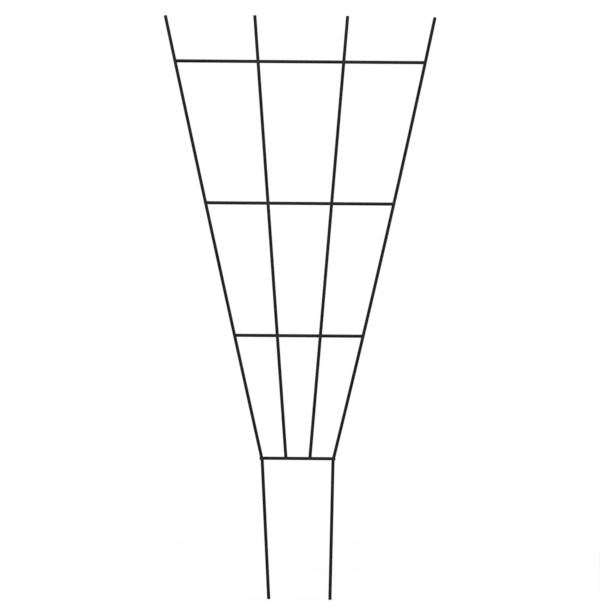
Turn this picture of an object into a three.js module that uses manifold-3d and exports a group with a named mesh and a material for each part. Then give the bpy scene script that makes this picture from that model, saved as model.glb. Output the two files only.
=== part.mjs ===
import * as THREE from 'three';
import { mergeVertices, toCreasedNormals } from 'three/addons/utils/BufferGeometryUtils.js';
import Module from 'manifold-3d';

// Fan trellis of round steel rod: four uprights in front, four crossbars behind them, and a weld at each
// crossing. The outer uprights bend at the bottom bar and run on down as the two ground legs.
// Millimetres. +Z is up, -Y is the front, and X = 0 is the middle of the fan.
// Z = 0 is the soil line, at the underside of the bottom bar. Y = 0 is the plane of the welds.
// A row height is measured from bar axis to bar axis, a drop down from the bottom bar's axis, and a reach
// out from X = 0.

// Rod
const BARE_ROD_DIAMETER = 6.5;
const COAT_THICKNESS = 0.2;
const END_CHAMFER = 0.5;

// Crossbars, and the rows of openings between them
const BOTTOM_ROW_HEIGHT = 256.5;
const MIDDLE_ROW_HEIGHT = 276.6;
const TOP_ROW_HEIGHT = 296.1;
const BAR_END_INSET = 0.9;
const BOTTOM_BAR_LEFT_OVERHANG = 1.5;
const BOTTOM_BAR_RIGHT_OVERHANG = 1;

// Outer uprights, bent one by one, so that each side has its own sizes
const KNEE_REACH = 73.9;
const KNEE_DROP = 3.2;
const KNEE_BEND_RADIUS = 40;
const OUTER_TIP_ABOVE_TOP_BAR = 93.8;
const LEFT_TIP_REACH = 283.1;
const RIGHT_TIP_REACH = 279.8;
const LEFT_BOW = 1.1;
const RIGHT_BOW = 3.6;
const LEFT_FOOT_REACH = 58.1;
const RIGHT_FOOT_REACH = 69.6;
const LEFT_FOOT_DROP = 293;
const RIGHT_FOOT_DROP = 293.7;

// Inner uprights, a symmetric pair that sits a little to the right
const INNER_BOTTOM_REACH = 24.9;
const INNER_TIP_REACH = 96.9;
const INNER_TIP_ABOVE_TOP_BAR = 95.2;
const INNER_END_INSET = 2;
const INNER_PAIR_SHIFT = 0.6;

// Welds: how far the rods are pressed into each other, and the lens of metal that this squeezes out, which
// spreads past the rods' edges, but less past the edge where one of them ends
const WELD_SET_DOWN = 0.9;
const WELD_SPREAD = 1.45;
const END_WELD_SPREAD = 0.45;
const WELD_HALF_DEPTH = 2.2;

// Clearance between pieces that touch
const SEAT_GAP = 0.3;

// Facets, and the passes of the search for a height on an axis
const ROD_SIDES = 24;
const KNEE_STEPS = 8;
const BOW_STEPS = 8;
const WELD_SIDES = 20;
const WELD_RINGS = 10;
const CREASE_ANGLE = THREE.MathUtils.degToRad(35);
const HEIGHT_SEARCH_PASSES = 50;

// Worked out from the sizes above
const ROD_RADIUS = BARE_ROD_DIAMETER / 2 + COAT_THICKNESS;
const SEAT_RADIUS = ROD_RADIUS + SEAT_GAP;
const BOTTOM_BAR_HEIGHT = ROD_RADIUS;
const LOWER_MIDDLE_BAR_HEIGHT = BOTTOM_BAR_HEIGHT + BOTTOM_ROW_HEIGHT;
const UPPER_MIDDLE_BAR_HEIGHT = LOWER_MIDDLE_BAR_HEIGHT + MIDDLE_ROW_HEIGHT;
const TOP_BAR_HEIGHT = UPPER_MIDDLE_BAR_HEIGHT + TOP_ROW_HEIGHT;
const ROD_PLANE_OFFSET = ROD_RADIUS - WELD_SET_DOWN / 2;
const WELD_REACH = ROD_RADIUS + WELD_SPREAD;
const END_WELD_SHIFT = WELD_SPREAD - END_WELD_SPREAD;

const wasm = await Module();
wasm.setup();

function rodCoat() {
  return new THREE.MeshStandardMaterial({ color: '#2b2b2c', roughness: 0.48, metalness: 0.1 });
}

function weldCoat() {
  return new THREE.MeshStandardMaterial({ color: '#323233', roughness: 0.55, metalness: 0.1 });
}

// The axis of a rod that lies in X and Z, made of stretches that each have a line and a number of steps.
class RodAxis extends THREE.Curve {
  constructor(stretches) {
    super();
    this.stretches = stretches;
    this.steps = stretches.reduce((sum, stretch) => sum + stretch.steps, 0);
  }

  locate(share) {
    let step = share * this.steps;
    for (const stretch of this.stretches) {
      if (step <= stretch.steps) {
        return { line: stretch.line, lineShare: step / stretch.steps };
      }
      step -= stretch.steps;
    }
    return { line: this.stretches.at(-1).line, lineShare: 1 };
  }

  getPoint(share) {
    const { line, lineShare } = this.locate(share);
    const { x, y } = line.getPoint(lineShare);
    return new THREE.Vector3(x, 0, y);
  }

  getTangent(share) {
    const { line, lineShare } = this.locate(share);
    const { x, y } = line.getTangent(lineShare);
    return new THREE.Vector3(x, 0, y);
  }

  // Equal shares of the axis are equal numbers of steps, so that the short bend has enough of them.
  getUtoTmapping(share) {
    return share;
  }

  // Where the axis passes a height, and which way it runs there.
  atHeight(height) {
    let low = 0;
    let high = 1;
    for (let pass = 0; pass < HEIGHT_SEARCH_PASSES; pass += 1) {
      const middle = (low + high) / 2;
      if (this.getPoint(middle).z < height) {
        low = middle;
      } else {
        high = middle;
      }
    }
    return { point: this.getPoint(high), tangent: this.getTangent(high) };
  }
}

function straightStretch(start, end) {
  return { line: new THREE.LineCurve(start, end), steps: 1 };
}

// A shoulder is the point inside a rod's end where its chamfer starts.
function straightAxis(start, end) {
  const way = end.clone().sub(start).normalize();
  const startShoulder = start.clone().addScaledVector(way, END_CHAMFER);
  const endShoulder = end.clone().addScaledVector(way, -END_CHAMFER);
  return new RodAxis([
    straightStretch(start, startShoulder),
    straightStretch(startShoulder, endShoulder),
    straightStretch(endShoulder, end),
  ]);
}

// A leg that runs straight up to the knee, the knee's arc, and the fan stretch, which bows outwards.
function outerUprightAxis({ side, footReach, footDrop, tipReach, bow }) {
  const foot = new THREE.Vector2(side * footReach, BOTTOM_BAR_HEIGHT - footDrop);
  const knee = new THREE.Vector2(side * KNEE_REACH, BOTTOM_BAR_HEIGHT - KNEE_DROP);
  const tip = new THREE.Vector2(side * tipReach, TOP_BAR_HEIGHT + OUTER_TIP_ABOVE_TOP_BAR);
  const outward = tip.clone().sub(knee).rotateAround(new THREE.Vector2(), -side * Math.PI / 2).normalize();
  const bowControl = knee.clone().lerp(tip, 1 / 2).addScaledVector(outward, 2 * bow);

  const legWay = knee.clone().sub(foot).normalize();
  const fanWay = bowControl.clone().sub(knee).normalize();
  const bend = Math.acos(legWay.dot(fanWay));
  const setBack = KNEE_BEND_RADIUS * Math.tan(bend / 2);
  const bendStart = knee.clone().addScaledVector(legWay, -setBack);
  const bendEnd = knee.clone().addScaledVector(fanWay, setBack);
  const towardsCentre = legWay.clone().rotateAround(new THREE.Vector2(), -side * Math.PI / 2);
  const centre = bendStart.clone().addScaledVector(towardsCentre, KNEE_BEND_RADIUS);
  const startAngle = bendStart.clone().sub(centre).angle();
  const arc = new THREE.EllipseCurve(
    centre.x,
    centre.y,
    KNEE_BEND_RADIUS,
    KNEE_BEND_RADIUS,
    startAngle,
    startAngle - side * bend,
    side > 0,
  );
  const footShoulder = foot.clone().addScaledVector(legWay, END_CHAMFER);
  const tipWay = tip.clone().sub(bowControl).normalize();
  const tipShoulder = tip.clone().addScaledVector(tipWay, -END_CHAMFER);
  return new RodAxis([
    straightStretch(foot, footShoulder),
    straightStretch(footShoulder, bendStart),
    { line: arc, steps: KNEE_STEPS },
    { line: new THREE.QuadraticBezierCurve(bendEnd, bowControl, tipShoulder), steps: BOW_STEPS },
    straightStretch(tipShoulder, tip),
  ]);
}

// The lower end rests on the bottom bar's front, above its underside.
function innerUprightAxis(side, endGrowth = 0) {
  const bottom = new THREE.Vector2(INNER_PAIR_SHIFT + side * INNER_BOTTOM_REACH, BOTTOM_BAR_HEIGHT);
  const tipHeight = TOP_BAR_HEIGHT + INNER_TIP_ABOVE_TOP_BAR;
  const tip = new THREE.Vector2(INNER_PAIR_SHIFT + side * INNER_TIP_REACH, tipHeight);
  const run = tip.clone().sub(bottom);
  const endDrop = ROD_RADIUS - INNER_END_INSET + endGrowth;
  const end = bottom.clone().addScaledVector(run, -endDrop / run.y);
  return straightAxis(end, tip);
}

// A bar ends beside the outer uprights' outer edges, past them by its overhangs.
function barAxis({ height, leftOverhang, rightOverhang }, outerAxes, endGrowth = 0) {
  const [left, right] = outerAxes.map((axis) => axis.atHeight(height));
  const leftEdge = left.point.x - ROD_RADIUS / left.tangent.z;
  const rightEdge = right.point.x + ROD_RADIUS / right.tangent.z;
  return straightAxis(
    new THREE.Vector2(leftEdge - leftOverhang - endGrowth, height),
    new THREE.Vector2(rightEdge + rightOverhang + endGrowth, height),
  );
}

function solidFrom(geometry) {
  const bare = geometry.clone();
  bare.deleteAttribute('normal');
  bare.deleteAttribute('uv');
  const merged = mergeVertices(bare);
  return new wasm.Manifold(new wasm.Mesh({
    numProp: 3,
    vertProperties: new Float32Array(merged.attributes.position.array),
    triVerts: new Uint32Array(merged.index.array),
  }));
}

function geometryFrom(solid) {
  const mesh = solid.getMesh();
  const geometry = new THREE.BufferGeometry();
  geometry.setAttribute('position', new THREE.BufferAttribute(mesh.vertProperties, 3));
  geometry.setIndex(new THREE.BufferAttribute(mesh.triVerts, 1));
  return toCreasedNormals(geometry, CREASE_ANGLE);
}

// Plain round stock along an axis, with square ends.
function roundStock(axis, radius) {
  const circle = new THREE.EllipseCurve(0, 0, radius, radius);
  const section = new THREE.Shape(circle.getPoints(ROD_SIDES).slice(0, -1));
  return new THREE.ExtrudeGeometry(section, { steps: axis.steps, extrudePath: axis });
}

// Draws in the stock's ring at one end, from the shoulder on.
function chamferEnd(stock, end, way) {
  const place = new THREE.Vector3();
  const { position } = stock.attributes;
  for (let index = 0; index < position.count; index += 1) {
    place.fromBufferAttribute(position, index).sub(end);
    if (Math.abs(place.dot(way)) < END_CHAMFER / 2) {
      place.setLength(Math.min(place.length(), ROD_RADIUS - END_CHAMFER));
    }
    place.add(end);
    position.setXYZ(index, place.x, place.y, place.z);
  }
}

function rodSolid(axis) {
  const stock = roundStock(axis, ROD_RADIUS);
  chamferEnd(stock, axis.getPoint(0), axis.getTangent(0));
  chamferEnd(stock, axis.getPoint(1), axis.getTangent(1));
  return solidFrom(stock);
}

// The room that a rod takes up in the pieces it is seated on.
function seatSolid(axis) {
  return solidFrom(roundStock(axis, SEAT_RADIUS));
}

// A bar is dented at each crossing by the upright that is pressed into its front.
function barSolid(axis, uprights) {
  return uprights.reduce(
    (bar, upright) => bar.subtract(upright.seat.translate(0, -2 * ROD_PLANE_OFFSET, 0)),
    rodSolid(axis),
  );
}

// The metal squeezed out round a crossing: a lens between the two rods, less the rods themselves.
function weldSolid(centre, upright, bar) {
  const lens = new THREE.SphereGeometry(1, WELD_SIDES, WELD_RINGS)
    .scale(WELD_REACH, WELD_HALF_DEPTH, WELD_REACH)
    .translate(centre.x, centre.y, centre.z);
  return solidFrom(lens)
    .subtract(upright.seat.translate(0, -ROD_PLANE_OFFSET, 0))
    .subtract(bar.seat.translate(0, ROD_PLANE_OFFSET, 0));
}

// Where a rod ends at a crossing, the weld's centre is moved in along that rod.
function weldCentre(upright, bar) {
  const centre = upright.axis.atHeight(bar.height).point;
  if (upright.outer) {
    centre.x -= upright.side * END_WELD_SHIFT;
  } else if (bar.carriesInnerEnds) {
    centre.z += END_WELD_SHIFT;
  }
  return centre;
}

// A mesh whose own origin is at its place.
function placedMesh(name, solid, place, material) {
  const mesh = new THREE.Mesh(geometryFrom(solid.translate(-place.x, -place.y, -place.z)), material);
  mesh.name = name;
  mesh.position.copy(place);
  return mesh;
}

function outerUpright(name, sizes) {
  const axis = outerUprightAxis(sizes);
  return { name, side: sizes.side, outer: true, axis, seat: seatSolid(axis) };
}

function innerUpright(name, side) {
  const axis = innerUprightAxis(side);
  return { name, side, outer: false, axis, seat: seatSolid(innerUprightAxis(side, SEAT_GAP)) };
}

function listUprights() {
  return [
    outerUpright('left_outer', {
      side: -1,
      footReach: LEFT_FOOT_REACH,
      footDrop: LEFT_FOOT_DROP,
      tipReach: LEFT_TIP_REACH,
      bow: LEFT_BOW,
    }),
    innerUpright('left_inner', -1),
    innerUpright('right_inner', 1),
    outerUpright('right_outer', {
      side: 1,
      footReach: RIGHT_FOOT_REACH,
      footDrop: RIGHT_FOOT_DROP,
      tipReach: RIGHT_TIP_REACH,
      bow: RIGHT_BOW,
    }),
  ];
}

function crossbar(name, sizes, outerAxes) {
  return {
    name,
    height: sizes.height,
    carriesInnerEnds: sizes.height === BOTTOM_BAR_HEIGHT,
    axis: barAxis(sizes, outerAxes),
    seat: seatSolid(barAxis(sizes, outerAxes, SEAT_GAP)),
  };
}

function listBars(uprights) {
  const outerAxes = uprights.filter((upright) => upright.outer).map((upright) => upright.axis);
  const inset = { leftOverhang: -BAR_END_INSET, rightOverhang: -BAR_END_INSET };
  const overhung = { leftOverhang: BOTTOM_BAR_LEFT_OVERHANG, rightOverhang: BOTTOM_BAR_RIGHT_OVERHANG };
  return [
    crossbar('top_bar', { height: TOP_BAR_HEIGHT, ...inset }, outerAxes),
    crossbar('upper_middle_bar', { height: UPPER_MIDDLE_BAR_HEIGHT, ...inset }, outerAxes),
    crossbar('lower_middle_bar', { height: LOWER_MIDDLE_BAR_HEIGHT, ...inset }, outerAxes),
    crossbar('bottom_bar', { height: BOTTOM_BAR_HEIGHT, ...overhung }, outerAxes),
  ];
}

function uprightGroup(uprights) {
  const group = new THREE.Group();
  group.position.y = -ROD_PLANE_OFFSET;
  for (const { name, axis } of uprights) {
    group.add(placedMesh(`${name}_upright`, rodSolid(axis), axis.getPoint(0), rodCoat()));
  }
  return group;
}

function barGroup(bars, uprights) {
  const group = new THREE.Group();
  group.position.y = ROD_PLANE_OFFSET;
  for (const { name, axis } of bars) {
    group.add(placedMesh(name, barSolid(axis, uprights), axis.getPoint(1 / 2), rodCoat()));
  }
  return group;
}

function weldGroup(bars, uprights) {
  const group = new THREE.Group();
  for (const bar of bars) {
    for (const upright of uprights) {
      const centre = weldCentre(upright, bar);
      const solid = weldSolid(centre, upright, bar);
      group.add(placedMesh(`${bar.name}_${upright.name}_weld`, solid, centre, weldCoat()));
    }
  }
  return group;
}

function buildTrellis() {
  const uprights = listUprights();
  const bars = listBars(uprights);
  const trellis = new THREE.Group();
  trellis.add(uprightGroup(uprights), barGroup(bars, uprights), weldGroup(bars, uprights));
  return trellis;
}

export default buildTrellis();
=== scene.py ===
"""Fan trellis: eight round steel rods and sixteen welds under one satin black coat.

Metres, in the frame's own axes: +Z is up, -Y is the front, X = 0 is the middle of the fan and Z = 0 is the
soil line. Every rod and weld of the frame is replaced by a finely meshed piece that is worked out from it.
"""
import math

import bmesh
import bpy
import numpy as np
from mathutils import Matrix, Vector, noise


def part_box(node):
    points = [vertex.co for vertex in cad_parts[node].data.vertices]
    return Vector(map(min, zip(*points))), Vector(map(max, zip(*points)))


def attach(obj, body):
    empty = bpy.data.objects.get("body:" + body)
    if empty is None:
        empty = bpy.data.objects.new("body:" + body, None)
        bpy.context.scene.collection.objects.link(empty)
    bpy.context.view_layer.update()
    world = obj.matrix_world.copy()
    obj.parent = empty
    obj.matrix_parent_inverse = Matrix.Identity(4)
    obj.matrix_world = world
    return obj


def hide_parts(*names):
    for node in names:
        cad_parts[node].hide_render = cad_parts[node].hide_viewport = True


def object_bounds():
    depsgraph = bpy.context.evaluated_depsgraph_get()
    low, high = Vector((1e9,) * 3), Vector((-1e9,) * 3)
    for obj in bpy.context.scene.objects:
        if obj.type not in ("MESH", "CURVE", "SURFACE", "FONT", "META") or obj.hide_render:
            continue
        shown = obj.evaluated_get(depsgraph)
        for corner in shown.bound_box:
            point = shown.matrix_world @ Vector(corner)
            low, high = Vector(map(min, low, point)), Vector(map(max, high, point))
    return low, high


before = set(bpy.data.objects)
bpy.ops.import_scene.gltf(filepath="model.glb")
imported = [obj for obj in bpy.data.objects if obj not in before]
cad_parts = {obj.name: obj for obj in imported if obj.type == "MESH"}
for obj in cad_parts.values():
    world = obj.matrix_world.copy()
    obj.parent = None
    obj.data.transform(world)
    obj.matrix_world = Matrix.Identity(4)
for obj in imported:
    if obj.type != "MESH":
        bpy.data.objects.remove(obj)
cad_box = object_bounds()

MM = 0.001
BODY = "root"
ROD_SLOT = "rod_coat"
WELD_SLOT = "weld_coat"

# The frame's rods. Uprights lie in front of the bars.
SIDES = ("left_outer", "left_inner", "right_inner", "right_outer")
BARS = ("top_bar", "upper_middle_bar", "lower_middle_bar", "bottom_bar")
FRONT = -1
BACK = 1

# Reading an axis off a node's corners
LINE_TOLERANCE = 0.01 * MM
SAME_POINT = 0.05 * MM
WAY_REACH = 1.5 * MM

# Rod mesh
ROD_SIDES = 48
ROD_PITCH = 5 * MM
CROSSING_PITCH = 0.4 * MM
CROSSING_REACH = 8 * MM
LEAST_STEP = 0.12 * MM
ROD_ANGLES = np.linspace(0, 2 * math.pi, ROD_SIDES, endpoint=False)

# Rod ends, cut from the bar and coated
END_EDGE = 0.55 * MM
EDGE_UNEVENNESS = 0.35
EDGE_STEPS = 7
FACE_RING_SHARES = (0.3, 0.6, 0.85)
END_DISH = 0.09 * MM
END_SLOPE_DEGREES = (0.4, 1.2)
END_STRETCH = 2 * END_EDGE
FACE_WEAR = 0.35
EDGE_WEAR = 0.65

# Coat on a rod: two long low waves that wind round it, all of it a little inside the frame's round
COAT_WAVE = 0.012 * MM
WAVE_LENGTHS = (11 * MM, 27 * MM)
WAVE_TURNS = (2, -1)

# Flats that the welding tool presses on the outer side of each crossing
PRESS_DEPTH = (0.22 * MM, 0.34 * MM)
PRESS_HALF_LENGTH = (3.6 * MM, 4.6 * MM)
PRESS_RAMP = 1.3 * MM
PRESS_ROUNDING = 0.12 * MM
PRESS_SWELL = 0.012

# Round each crossing, out from its middle: a duller, rougher coat and a painted highlight, where the coat's
# colour is paler
HAZE_AND_HIGHLIGHT_REACH = (1.5 * MM, 6.5 * MM)
OUTER_HAZE_AND_HIGHLIGHT_SHARE = 0.4

# Coat material: its darkest and palest colour, and its gloss
COAT_DARK = (0.003, 0.003, 0.003, 1)
COAT_PALE = (0.05, 0.05, 0.051, 1)
COAT_ROUGHNESS = 0.3
COAT_SPECULAR = 0.055
COAT_IOR = 1.5

# Noises of the coat: scale, which is about the features in a metre, detail and roughness
PATCH_NOISE = (14, 3, 0.5)
MOTTLE_NOISE = (210, 3, 0.5)
PEEL_NOISE = (800, 2, 0.5)
CHIP_NOISE = (900, 4, 0.7)
GRAIN_NOISE = (5200, 2, 0.6)

# Spans of a noise's value that are spread out over all of its effect
TONE_SPAN = (0.35, 0.65)
GLOSS_SPAN = (0.3, 0.7)
CHIP_SPAN = (0.42, 0.6)

# How far each effect moves the tone, where 0 is darkest and 1 palest, and how far the roughness
PATCH_TONE = 0.12
MOTTLE_TONE = 0.12
# Painted highlight: this share of the tone makes the coat's colour paler round each crossing
CROSSING_HIGHLIGHT_TONE = 0.24
WORN_TONE = 0.5
PATCH_ROUGHNESS = 0.03
MOTTLE_ROUGHNESS = 0.06
HAZE_ROUGHNESS = 0.06
WORN_POLISH = 0.12

# How deep the orange peel and the grain are
ROD_PEEL_DEPTH = 0.04 * MM
WELD_PEEL_DEPTH = 0.06 * MM
GRAIN_DEPTH = 0.007 * MM

# Weld beads: the fillet between the rods, and the ring of metal squeezed out round it
BEAD_MERIDIANS = 120
BEAD_LATITUDES = 54
BEAD_TOP_DEGREES = 76
FILLET_BLEND = 2.1 * MM
RING_SPREAD = (0.75 * MM, 1.1 * MM)
RING_HALF_DEPTH = (0.7 * MM, 0.95 * MM)
RING_BLEND = 1.3 * MM
RING_PAST_END = 0.3 * MM
RING_END_BLEND = 0.8 * MM
BEAD_SINK = 0.15 * MM
BEAD_END_ROUNDING = 0.8 * MM
BEAD_END_SINK = 0.2 * MM
BEAD_LOBE_SHARES = {2: 0.07, 3: 0.05, 4: 0.03}
BEAD_LUMP = 0.2 * MM
LUMP_SIZE = 1.9 * MM

# Search for a bead's surface: how far out it may lie, sideways and in depth, and how much of the rods counts
BEAD_ROOM_REACH = 6.2 * MM
BEAD_ROOM_DEPTH = 4.4 * MM
SEARCH_PASSES = 15
NEAR_REACH = 15 * MM
RUN_ON = 50 * MM

# Picture
PICTURE_HEIGHT = 1257.2 * MM
VIEW_CENTRE_X = 2.5 * MM
VIEW_CENTRE_Z = 332.6 * MM
CAMERA_LENS = 100
CAMERA_SENSOR = 36
CAMERA_ROLL_DEGREES = -0.43

# Studio: the room's light, and a paper floor with a shadow near the object and plain white further out
WHITE = (1, 1, 1, 1)
ROOM_STRENGTH = 0.5
FLOOR_RADIUS = 8
FLOOR_SEGMENTS = 96
PAPER_COLOUR = (0.97, 0.97, 0.97, 1)
PLAIN_WHITE_REACH = (0.3, 1.1)
PLAIN_WHITE_SHARES = (0.75, 1)

# Square soft lamps: where each stands, what it faces, its width, and its power in watts
SOIL_POINT = (0, 0, 0)
FAN_POINT = (0, 0, 0.4)
LAMPS = {
    "over_lamp": ((0.3, 0.3, 4.6), SOIL_POINT, 2, 55),
    "top_lamp": ((0, -2.4, 2), FAN_POINT, 0.5, 34),
    "left_lamp": ((-2.4, -0.4, 0.6), FAN_POINT, 0.6, 13),
    "right_lamp": ((2.4, -0.4, 0.5), FAN_POINT, 0.6, 15),
}

# Seeds of what varies from rod to rod and from weld to weld
ROD_SEED = 100
SEEDS_A_BAR = 10


def unit(vector):
    return vector / np.linalg.norm(vector)


def smooth_step(low, high, value):
    share = np.clip((value - low) / (high - low), 0, 1)
    return share * share * (3 - 2 * share)


def smooth_min(first, second, blend):
    """The lesser of two fields, rounded where they are nearer than the blend."""
    near = np.maximum(blend - np.abs(first - second), 0) / blend
    return np.minimum(first, second) - near * near * blend / 4


class Rod:
    """A round rod whose axis lies in a plane of X and Z, read from the corners of its node."""

    def __init__(self, node, outer_side):
        low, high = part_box(node)
        self.node = node
        self.outer_side = outer_side
        self.radius = (high.y - low.y) / 2
        self.depth = (high.y + low.y) / 2
        self.line = self.read_line()
        steps = np.linalg.norm(np.diff(self.line, axis=0), axis=1)
        self.lengths = np.concatenate(([0], np.cumsum(steps)))
        self.length = self.lengths[-1]

    def read_line(self):
        """Corners on the rod's outermost line lie straight outside its axis. Its ends stand past them."""
        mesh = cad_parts[self.node].data
        corners = np.empty(3 * len(mesh.vertices))
        mesh.vertices.foreach_get("co", corners)
        corners = corners.reshape(-1, 3)
        outermost = self.depth + self.outer_side * self.radius
        flat = corners[:, (0, 2)]
        line = flat[np.abs(corners[:, 1] - outermost) < LINE_TOLERANCE]
        spread = np.ptp(line, axis=0)
        line = line[np.argsort(line[:, int(spread[1] > spread[0])])]
        apart = np.linalg.norm(np.diff(line, axis=0), axis=1) > SAME_POINT
        line = line[np.concatenate(([True], apart))]
        start = self.cut_end(flat, line[0], line[1])
        end = self.cut_end(flat, line[-1], line[-2])
        return np.array([start, *line, end])

    @staticmethod
    def cut_end(corners, shoulder, inner):
        """The middle of a cut end, straight on from the last two corners before it."""
        way = unit(shoulder - inner)
        return shoulder + way * ((corners - shoulder) @ way).max()

    def place(self, along):
        """Where the axis is, in X and Z, at lengths along the rod."""
        return np.stack([np.interp(along, self.lengths, self.line[:, k]) for k in (0, 1)], axis=-1)

    def way(self, along):
        """Which way the axis runs, in X and Z, at lengths along the rod."""
        run = self.place(along + WAY_REACH) - self.place(along - WAY_REACH)
        return run / np.linalg.norm(run, axis=-1, keepdims=True)

    def along_at_height(self, height):
        return float(np.interp(height, self.line[:, 1], self.lengths))

    def along_at_reach(self, reach):
        return float(np.interp(reach, self.line[:, 0], self.lengths))

    def stretch(self, middle, reach):
        """The axis round a point on it, run on past the rod's ends if it stops there."""
        low = max(middle - reach, 0)
        high = min(middle + reach, self.length)
        inside = (self.lengths > low) & (self.lengths < high)
        points = self.place(np.concatenate(([low], self.lengths[inside], [high])))
        start = points[0] + unit(points[0] - points[1]) * RUN_ON
        end = points[-1] + unit(points[-1] - points[-2]) * RUN_ON
        return np.array([start, *points, end])

    def past_ends(self, places):
        """How far places lie past the nearer end of the rod, below 0 where they lie short of it."""
        flat = places[:, (0, 2)]
        past_start = (self.line[0] - flat) @ unit(self.line[1] - self.line[0])
        past_end = (flat - self.line[-1]) @ unit(self.line[-1] - self.line[-2])
        return np.maximum(past_start, past_end)

    def distance(self, places, middle):
        """How far places lie outside the rod's surface, near a point on its axis. Its ends are rounded."""
        flat = places[:, (0, 2)]
        line = self.stretch(middle, NEAR_REACH)
        sideways = np.full(len(flat), np.inf)
        for start, end in zip(line[:-1], line[1:]):
            run = end - start
            share = np.clip((flat - start) @ run / (run @ run), 0, 1)
            sideways = np.minimum(sideways, np.linalg.norm(flat - start - share[:, None] * run, axis=1))
        round_side = np.hypot(sideways, places[:, 1] - self.depth) - self.radius
        side = round_side + BEAD_END_ROUNDING
        past = self.past_ends(places) + BEAD_END_SINK + BEAD_END_ROUNDING
        outside = np.hypot(np.maximum(side, 0), np.maximum(past, 0))
        return outside + np.minimum(np.maximum(side, past), 0) - BEAD_END_ROUNDING


class Crossing:
    """A place where an upright is welded to a bar."""

    def __init__(self, upright, bar, seed):
        self.upright = upright
        self.bar = bar
        height = bar.line[0, 1]
        self.upright_along = upright.along_at_height(height)
        reach = upright.place(self.upright_along)[0]
        self.bar_along = bar.along_at_reach(reach)
        self.centre = np.array([reach, (upright.depth + bar.depth) / 2, height])
        self.random = np.random.default_rng(seed)
        # Outer crossings take a smaller share of the duller coat and of the painted highlight
        self.haze_and_highlight_share = OUTER_HAZE_AND_HIGHLIGHT_SHARE if "outer" in upright.node else 1

    def along(self, rod):
        return self.upright_along if rod is self.upright else self.bar_along

    def haze_and_highlight(self, places):
        """How far the coat round it is dulled and painted paler as a highlight, down to 0 where that does
        not reach, seen square on to the fan.
        """
        far = np.hypot(places[..., 0] - self.centre[0], places[..., 2] - self.centre[2])
        return self.haze_and_highlight_share * (1 - smooth_step(*HAZE_AND_HIGHLIGHT_REACH, far))


def ring_mesh(name, rings, first_pole, last_pole, layers, material):
    """A closed piece: rings of corners and a pole at each end. A layer holds a value for each corner."""
    count, sides = rings.shape[:2]
    corners = np.concatenate([[first_pole], rings.reshape(-1, 3), [last_pole]])
    last = len(corners) - 1
    faces = []
    for side in range(sides):
        beside = (side + 1) % sides
        faces.append((0, 1 + beside, 1 + side))
        for ring in range(count - 1):
            low = 1 + ring * sides
            high = low + sides
            faces.append((low + side, low + beside, high + beside, high + side))
        top = 1 + (count - 1) * sides
        faces.append((last, top + side, top + beside))
    mesh = bpy.data.meshes.new(name)
    mesh.from_pydata(corners.tolist(), [], faces)
    for layer, values in layers.items():
        padded = np.concatenate([[values[0].mean()], values.reshape(-1), [values[-1].mean()]])
        mesh.attributes.new(layer, "FLOAT", "POINT").data.foreach_set("value", padded.astype(np.float32))
    turn_outwards(mesh)
    mesh.shade_smooth()
    mesh.materials.append(material)
    piece = bpy.data.objects.new(name, mesh)
    bpy.context.scene.collection.objects.link(piece)
    return piece


def turn_outwards(mesh):
    work = bmesh.new()
    work.from_mesh(mesh)
    bmesh.ops.recalc_face_normals(work, faces=work.faces)
    work.to_mesh(mesh)
    work.free()


def stand_for(piece, node):
    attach(piece, BODY)
    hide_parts(node)


def body_stations(rod, crossings):
    """Lengths along a rod that have a ring, closer together at its bends and crossings."""
    first = END_STRETCH
    last = rod.length - END_STRETCH
    stations = [np.arange(first, last, ROD_PITCH), rod.lengths[1:-1], [last]]
    for crossing in crossings:
        middle = crossing.along(rod)
        stations.append(np.arange(middle - CROSSING_REACH, middle + CROSSING_REACH, CROSSING_PITCH))
    wanted = np.sort(np.concatenate(stations))
    wanted = wanted[(wanted >= first) & (wanted <= last)]
    kept = [wanted[0]]
    for station in wanted[1:]:
        if station - kept[-1] >= LEAST_STEP:
            kept.append(station)
    return np.array(kept)


def end_rings(rod, random):
    """Rings of one cut end, from its middle outwards, and then how far in its middle lies.

    For each corner: how far in from the end it lies, how far from the axis, and how worn it is.
    """
    turn = random.uniform(0, 2 * math.pi)
    slope = math.tan(math.radians(random.uniform(*END_SLOPE_DEGREES)))
    leaning = np.cos(ROD_ANGLES - turn)
    edge = END_EDGE * (1 + EDGE_UNEVENNESS * leaning)
    face_reach = rod.radius - edge
    inwards = []
    reaches = []
    wears = []
    for share in FACE_RING_SHARES:
        inwards.append(END_DISH * (1 - share * share) * np.ones(ROD_SIDES))
        reaches.append(face_reach * share)
        wears.append(np.full(ROD_SIDES, FACE_WEAR))
    for step in range(EDGE_STEPS + 1):
        angle = math.pi / 2 * (1 - step / EDGE_STEPS)
        inwards.append(edge * (1 - math.sin(angle)))
        reaches.append(rod.radius - edge * (1 - math.cos(angle)))
        wears.append(np.full(ROD_SIDES, EDGE_WEAR * math.sin(2 * angle) + FACE_WEAR * math.sin(angle)))
    inwards = np.array(inwards)
    reaches = np.array(reaches)
    inwards += slope * (rod.radius + reaches * leaning)
    return inwards, reaches, np.array(wears), END_DISH + slope * rod.radius


def coat_wave(along, angles, phases):
    """How far the coat's surface lies inside the rod's full radius."""
    waves = [np.sin(2 * math.pi * along / length + turns * angles + phase)
             for length, turns, phase in zip(WAVE_LENGTHS, WAVE_TURNS, phases)]
    return COAT_WAVE * (1 + np.mean(waves, axis=0)) / 2


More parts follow.
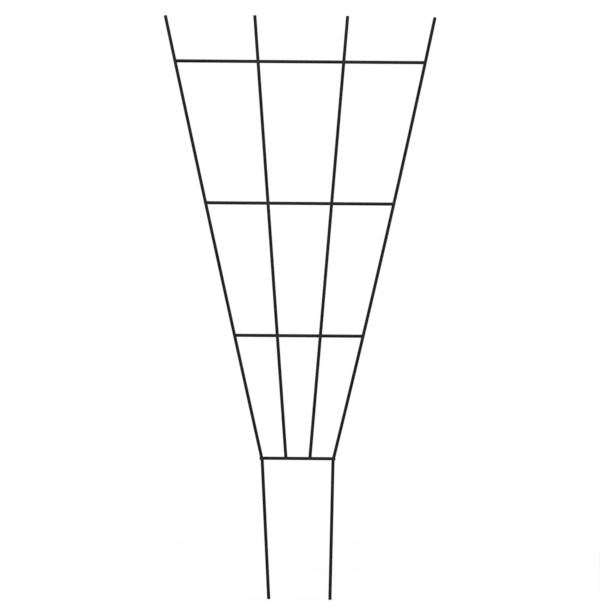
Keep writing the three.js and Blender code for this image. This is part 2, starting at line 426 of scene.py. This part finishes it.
def rod_piece(rod, crossings, material, seed):
    random = np.random.default_rng(seed)
    start_in, start_reach, start_wear, start_pole = end_rings(rod, random)
    end_in, end_reach, end_wear, end_pole = end_rings(rod, random)
    stations = body_stations(rod, crossings)
    body_along = np.repeat(stations[:, None], ROD_SIDES, axis=1)
    body_reach = np.full_like(body_along, rod.radius)
    along = np.concatenate([start_in, body_along, rod.length - end_in[::-1]])
    reach = np.concatenate([start_reach, body_reach, end_reach[::-1]])
    wear = np.concatenate([start_wear, np.zeros_like(body_along), end_wear[::-1]])
    angles = np.broadcast_to(ROD_ANGLES, along.shape)
    reach = reach - coat_wave(along, angles, random.uniform(0, 2 * math.pi, len(WAVE_LENGTHS)))

    across = reach * np.cos(angles)
    outwards = reach * np.sin(angles)
    for crossing in crossings:
        middle = crossing.along(rod)
        half_length = random.uniform(*PRESS_HALF_LENGTH)
        depth = random.uniform(*PRESS_DEPTH)
        far = np.abs(along - middle)
        pressed = 1 - smooth_step(half_length - PRESS_RAMP, half_length, far)
        limit = rod.radius + PRESS_ROUNDING - (depth + PRESS_ROUNDING) * pressed
        outwards = smooth_min(outwards, limit, PRESS_ROUNDING)
        across = across * (1 + PRESS_SWELL * pressed)

    place = rod.place(along)
    way = rod.way(along)
    rings = np.stack([
        place[..., 0] + across * way[..., 1],
        rod.depth + rod.outer_side * outwards,
        place[..., 1] - across * way[..., 0],
    ], axis=-1)
    poles = []
    for pole_along in (start_pole, rod.length - end_pole):
        x, z = rod.place(pole_along)
        poles.append((x, rod.depth, z))
    # Mask round the crossings: a duller coat and a painted highlight, as paler colour
    haze_and_highlight = np.max([crossing.haze_and_highlight(rings) for crossing in crossings], axis=0)
    layers = {"edge_wear": wear, "weld_haze": haze_and_highlight}
    piece = ring_mesh(f"{rod.node}_rod", rings, *poles, layers, material)
    stand_for(piece, rod.node)


class Bead:
    """The field whose zero is a weld's surface, blended onto its two rods."""

    def __init__(self, crossing):
        random = crossing.random
        self.crossing = crossing
        self.phases = random.uniform(0, 2 * math.pi, len(BEAD_LOBE_SHARES))
        self.ring_reach = crossing.upright.radius + random.uniform(*RING_SPREAD)
        self.ring_half_depth = random.uniform(*RING_HALF_DEPTH)
        self.lump_offset = Vector(random.uniform(0, 1, 3))

    def unevenness(self, offsets):
        """A share that varies round the weld."""
        angles = np.arctan2(offsets[:, 2], offsets[:, 0])
        waves = zip(BEAD_LOBE_SHARES.items(), self.phases)
        return 1 + sum(share * np.sin(lobes * angles + phase) for (lobes, share), phase in waves)

    def lumps(self, offsets):
        return np.array([noise.noise(Vector(offset) / LUMP_SIZE + self.lump_offset) for offset in offsets])

    def value(self, offsets, uneven, lumps):
        crossing = self.crossing
        places = offsets + crossing.centre
        upright = crossing.upright.distance(places, crossing.upright_along)
        bar = crossing.bar.distance(places, crossing.bar_along)
        rods = smooth_min(upright, bar, FILLET_BLEND * uneven) + BEAD_SINK
        past = np.maximum(crossing.upright.past_ends(places), crossing.bar.past_ends(places))
        rim = np.hypot(offsets[:, 0], offsets[:, 2]) - self.ring_reach * uneven + self.ring_half_depth
        ring = np.hypot(np.maximum(rim, 0), offsets[:, 1]) - self.ring_half_depth - BEAD_LUMP * lumps
        ring = -smooth_min(-ring, RING_PAST_END - past, RING_END_BLEND)
        return smooth_min(rods, ring, RING_BLEND)

    def surface(self, ways):
        """The distance from the weld's centre to its surface, along each way."""
        sideways = np.hypot(ways[:, 0], ways[:, 2])
        room = 1 / np.hypot(sideways / BEAD_ROOM_REACH, ways[:, 1] / BEAD_ROOM_DEPTH)
        uneven = self.unevenness(ways)
        lumps = self.lumps(ways * self.ring_reach)
        near = np.zeros(len(ways))
        far = room
        for _ in range(SEARCH_PASSES):
            middle = (near + far) / 2
            inside = self.value(ways * middle[:, None], uneven, lumps) < 0
            near = np.where(inside, middle, near)
            far = np.where(inside, far, middle)
        return near


def weld_piece(crossing, node, material):
    turns = np.linspace(0, 2 * math.pi, BEAD_MERIDIANS, endpoint=False)
    top = math.radians(BEAD_TOP_DEGREES)
    lifts = np.linspace(-top, top, BEAD_LATITUDES)
    lift, turn = np.meshgrid(lifts, turns, indexing="ij")
    ways = np.stack([np.cos(lift) * np.cos(turn), np.sin(lift), np.cos(lift) * np.sin(turn)], axis=-1)
    poles = np.array([[0, -1, 0], [0, 1, 0]])
    every_way = np.concatenate([ways.reshape(-1, 3), poles])
    places = crossing.centre + every_way * Bead(crossing).surface(every_way)[:, None]
    rings = places[:-2].reshape(ways.shape)
    # The bead takes the same mask: a duller coat and a painted highlight, as paler colour
    layers = {"edge_wear": np.zeros(lift.shape), "weld_haze": crossing.haze_and_highlight(rings)}
    piece = ring_mesh(f"{node}_bead", rings, places[-2], places[-1], layers, material)
    stand_for(piece, node)


class Nodes:
    """Short calls for a node tree. A socket in an input's place is linked, anything else is its value."""

    def __init__(self, tree):
        self.tree = tree
        tree.nodes.clear()

    def add(self, kind, inputs=None, **settings):
        node = self.tree.nodes.new(kind)
        for key, value in settings.items():
            setattr(node, key, value)
        for key, value in (inputs or {}).items():
            if isinstance(value, bpy.types.NodeSocket):
                self.tree.links.new(value, node.inputs[key])
            else:
                node.inputs[key].default_value = value
        return node

    def math(self, operation, first, second):
        return self.add("ShaderNodeMath", {0: first, 1: second}, operation=operation).outputs[0]

    def noise(self, coordinates, scale, detail, roughness):
        inputs = {"Vector": coordinates, "Scale": scale, "Detail": detail, "Roughness": roughness}
        return self.add("ShaderNodeTexNoise", inputs).outputs["Fac"]

    def spread(self, value, low, high, to_low, to_high):
        inputs = {"Value": value, "From Min": low, "From Max": high, "To Min": to_low, "To Max": to_high}
        return self.add("ShaderNodeMapRange", inputs).outputs["Result"]

    def attribute(self, name):
        return self.add("ShaderNodeAttribute", attribute_name=name).outputs["Fac"]

    def bump(self, height, distance, normal=None):
        inputs = {"Height": height, "Distance": distance, "Strength": 1.0}
        if normal is not None:
            inputs["Normal"] = normal
        return self.add("ShaderNodeBump", inputs).outputs["Normal"]


def coat_material(name, peel_depth):
    """Powder coat: patches of tone and gloss, orange peel, fine grain, haze round welds with a painted
    highlight of paler colour there, and worn edges.
    """
    material = bpy.data.materials.new(name)
    material.use_nodes = True
    nodes = Nodes(material.node_tree)
    place = nodes.add("ShaderNodeTexCoord").outputs["Object"]
    patches = nodes.noise(place, *PATCH_NOISE)
    mottle = nodes.noise(place, *MOTTLE_NOISE)
    peel = nodes.noise(place, *PEEL_NOISE)
    grain = nodes.noise(place, *GRAIN_NOISE)
    chips = nodes.noise(place, *CHIP_NOISE)
    haze_and_highlight = nodes.attribute("weld_haze")
    wear = nodes.attribute("edge_wear")

    worn = nodes.math("MULTIPLY", wear, nodes.spread(chips, *CHIP_SPAN, 0, 1))
    tone = nodes.spread(patches, *TONE_SPAN, 0, PATCH_TONE)
    tone = nodes.math("ADD", tone, nodes.spread(mottle, *TONE_SPAN, 0, MOTTLE_TONE))
    # Painted highlight: paler colour round each crossing
    tone = nodes.math("ADD", tone, nodes.math("MULTIPLY", haze_and_highlight, CROSSING_HIGHLIGHT_TONE))
    tone = nodes.math("ADD", tone, nodes.math("MULTIPLY", worn, WORN_TONE))
    ramp = nodes.add("ShaderNodeValToRGB", {"Fac": tone})
    ramp.color_ramp.elements[0].color = COAT_DARK
    ramp.color_ramp.elements[1].color = COAT_PALE

    smoothest = COAT_ROUGHNESS - MOTTLE_ROUGHNESS
    roughest = COAT_ROUGHNESS + MOTTLE_ROUGHNESS
    roughness = nodes.spread(mottle, *GLOSS_SPAN, smoothest, roughest)
    uneven = nodes.spread(patches, *GLOSS_SPAN, -PATCH_ROUGHNESS, PATCH_ROUGHNESS)
    roughness = nodes.math("ADD", roughness, uneven)
    roughness = nodes.math("ADD", roughness, nodes.math("MULTIPLY", haze_and_highlight, HAZE_ROUGHNESS))
    roughness = nodes.math("SUBTRACT", roughness, nodes.math("MULTIPLY", worn, WORN_POLISH))

    normal = nodes.bump(peel, peel_depth)
    normal = nodes.bump(grain, GRAIN_DEPTH, normal)
    shader = nodes.add("ShaderNodeBsdfPrincipled", {
        "Base Color": ramp.outputs["Color"],
        "Roughness": roughness,
        "Normal": normal,
        "IOR": COAT_IOR,
        "Specular IOR Level": COAT_SPECULAR,
    })
    nodes.add("ShaderNodeOutputMaterial", {"Surface": shader.outputs["BSDF"]})
    return material


def shown_ray(nodes):
    """1 for the rays that show a background: the camera's, and those in gloss and glass."""
    rays = nodes.add("ShaderNodeLightPath").outputs
    shown = nodes.math("MAXIMUM", rays["Is Camera Ray"], rays["Is Glossy Ray"])
    return nodes.math("MAXIMUM", shown, rays["Is Transmission Ray"])


def make_world():
    world = bpy.data.worlds.new("studio")
    bpy.context.scene.world = world
    world.use_nodes = True
    nodes = Nodes(world.node_tree)
    room = nodes.add("ShaderNodeBackground", {"Color": WHITE, "Strength": ROOM_STRENGTH})
    backdrop = nodes.add("ShaderNodeBackground", {"Color": WHITE, "Strength": 1.0})
    mixed = nodes.add("ShaderNodeMixShader", {
        0: shown_ray(nodes),
        1: room.outputs[0],
        2: backdrop.outputs[0],
    })
    nodes.add("ShaderNodeOutputWorld", {"Surface": mixed.outputs[0]})


def floor_material():
    """White paper that keeps the shadow under the object and runs out into the white backdrop."""
    material = bpy.data.materials.new("floor_paper")
    material.use_nodes = True
    nodes = Nodes(material.node_tree)
    place = nodes.add("ShaderNodeTexCoord").outputs["Object"]
    away = nodes.add("ShaderNodeVectorMath", {0: place}, operation="LENGTH").outputs["Value"]
    plain = nodes.spread(away, *PLAIN_WHITE_REACH, *PLAIN_WHITE_SHARES)
    paper = nodes.add("ShaderNodeBsdfDiffuse", {"Color": PAPER_COLOUR})
    white = nodes.add("ShaderNodeEmission", {"Color": WHITE, "Strength": 1.0})
    mixed = nodes.add("ShaderNodeMixShader", {
        0: nodes.math("MULTIPLY", plain, shown_ray(nodes)),
        1: paper.outputs[0],
        2: white.outputs[0],
    })
    nodes.add("ShaderNodeOutputMaterial", {"Surface": mixed.outputs[0]})
    return material


def make_floor():
    work = bmesh.new()
    bmesh.ops.create_circle(work, cap_ends=True, segments=FLOOR_SEGMENTS, radius=FLOOR_RADIUS)
    mesh = bpy.data.meshes.new("floor")
    work.to_mesh(mesh)
    work.free()
    mesh.materials.append(floor_material())
    floor = bpy.data.objects.new("floor", mesh)
    floor.location.z = cad_box[0].z
    bpy.context.scene.collection.objects.link(floor)


def make_lamp(name, place, target, width, power):
    light = bpy.data.lights.new(name, "AREA")
    light.shape = "SQUARE"
    light.size = width
    light.energy = power
    lamp = bpy.data.objects.new(name, light)
    lamp.location = place
    lamp.rotation_euler = (Vector(target) - Vector(place)).to_track_quat("-Z", "Y").to_euler()
    bpy.context.scene.collection.objects.link(lamp)


def make_camera():
    data = bpy.data.cameras.new("camera")
    data.type = "PERSP"
    data.lens = CAMERA_LENS
    data.sensor_width = CAMERA_SENSOR
    camera = bpy.data.objects.new("camera", data)
    distance = CAMERA_LENS / CAMERA_SENSOR * PICTURE_HEIGHT
    place = Matrix.Translation((VIEW_CENTRE_X, -distance, VIEW_CENTRE_Z))
    level = Matrix.Rotation(math.pi / 2, 4, "X")
    roll = Matrix.Rotation(math.radians(CAMERA_ROLL_DEGREES), 4, "Y")
    camera.matrix_world = place @ roll @ level
    bpy.context.scene.collection.objects.link(camera)
    bpy.context.scene.camera = camera


def make_trellis():
    rod_coat = coat_material(ROD_SLOT, ROD_PEEL_DEPTH)
    weld_coat = coat_material(WELD_SLOT, WELD_PEEL_DEPTH)
    uprights = [Rod(f"{side}_upright", FRONT) for side in SIDES]
    bars = [Rod(bar, BACK) for bar in BARS]
    crossings = [Crossing(upright, bar, SEEDS_A_BAR * row + column)
                 for row, bar in enumerate(bars) for column, upright in enumerate(uprights)]
    for index, rod in enumerate([*uprights, *bars]):
        own = [crossing for crossing in crossings if rod in (crossing.upright, crossing.bar)]
        rod_piece(rod, own, rod_coat, ROD_SEED + index)
    for crossing in crossings:
        side = crossing.upright.node.removesuffix("_upright")
        weld_piece(crossing, f"{crossing.bar.node}_{side}_weld", weld_coat)


make_camera()
make_world()
make_floor()
for lamp, settings in LAMPS.items():
    make_lamp(lamp, *settings)
make_trellis()
bpy.context.scene.view_settings.view_transform = "Standard"
